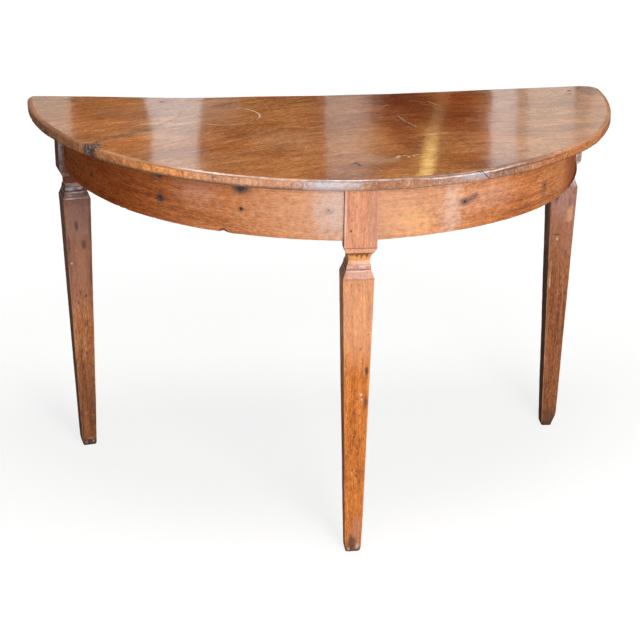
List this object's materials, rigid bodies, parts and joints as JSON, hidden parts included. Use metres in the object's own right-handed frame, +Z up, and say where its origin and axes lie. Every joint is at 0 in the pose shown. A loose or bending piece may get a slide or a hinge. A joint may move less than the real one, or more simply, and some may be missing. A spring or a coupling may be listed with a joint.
{
  "type": "demilune table",
  "caption": "Half-round wall table with a glued-board top, curved apron rails and square tapered legs with moulded necks.",
  "frame": {"origin": "on the floor under the middle of the table's box", "axes": "+X along the back edge to the right as seen from the front, +Y towards the wall, +Z up"},
  "size_m": [1.2034, 0.597, 0.76],
  "materials": {
    "polished_wood": "old wax and polish",
    "inner_wood": "bare, darkened by age",
    "peg_wood": "polished over",
    "forged_iron": "black, rusted"
  },
  "bodies": {
    "root": {"top_rear_board": "polished_wood", "top_front_board": "polished_wood", "front_leg": "polished_wood", "left_rear_leg": "polished_wood", "right_rear_leg": "polished_wood", "left_curved_rail": "polished_wood", "right_curved_rail": "polished_wood", "back_rail": "inner_wood", "medial_bearer": "inner_wood", "left_rear_block": "inner_wood", "left_middle_block": "inner_wood", "left_front_block": "inner_wood", "left_stile_block": "inner_wood", "left_corner_block": "inner_wood", "right_rear_block": "inner_wood", "right_middle_block": "inner_wood", "right_front_block": "inner_wood", "right_stile_block": "inner_wood", "right_corner_block": "inner_wood", "left_leg_pegs": "peg_wood", "right_leg_pegs": "peg_wood", "rail_nails": "forged_iron", "top_nails": "forged_iron"}
  },
  "joints": []
}
